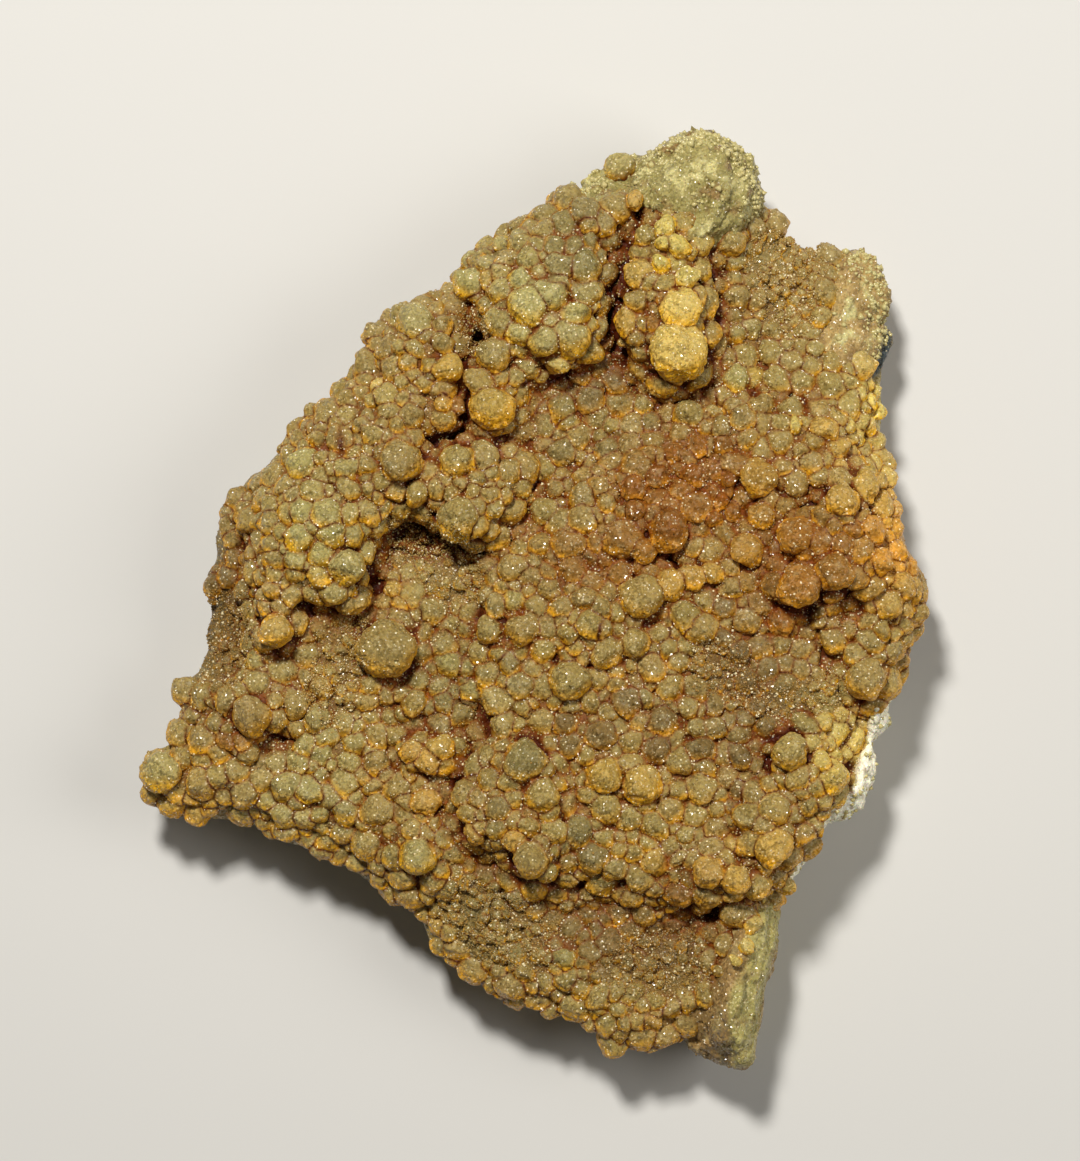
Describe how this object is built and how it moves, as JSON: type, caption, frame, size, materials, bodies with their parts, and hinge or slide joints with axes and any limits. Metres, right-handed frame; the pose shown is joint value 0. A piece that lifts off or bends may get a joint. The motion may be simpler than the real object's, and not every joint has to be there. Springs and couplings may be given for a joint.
{
  "type": "talc mineral specimen",
  "caption": "Broken slab of botryoidal talc: grape-like honey-brown globules with a sparkling crystalline skin, crowded over a thin matrix, lying on its flat back.",
  "frame": {"origin": "centre of the footprint, at the flat back the slab rests on", "axes": "+Z out of the globule-covered face, +Y along the length towards the pale pointed end, +X to the right of the face"},
  "size_m": [0.0784, 0.0942, 0.0207],
  "materials": {
    "honey_talc": "waxy, slightly translucent globules under a sparkling micro-crystalline skin"
  },
  "bodies": {
    "root": {"talc_specimen": "honey_talc"}
  },
  "joints": []
}
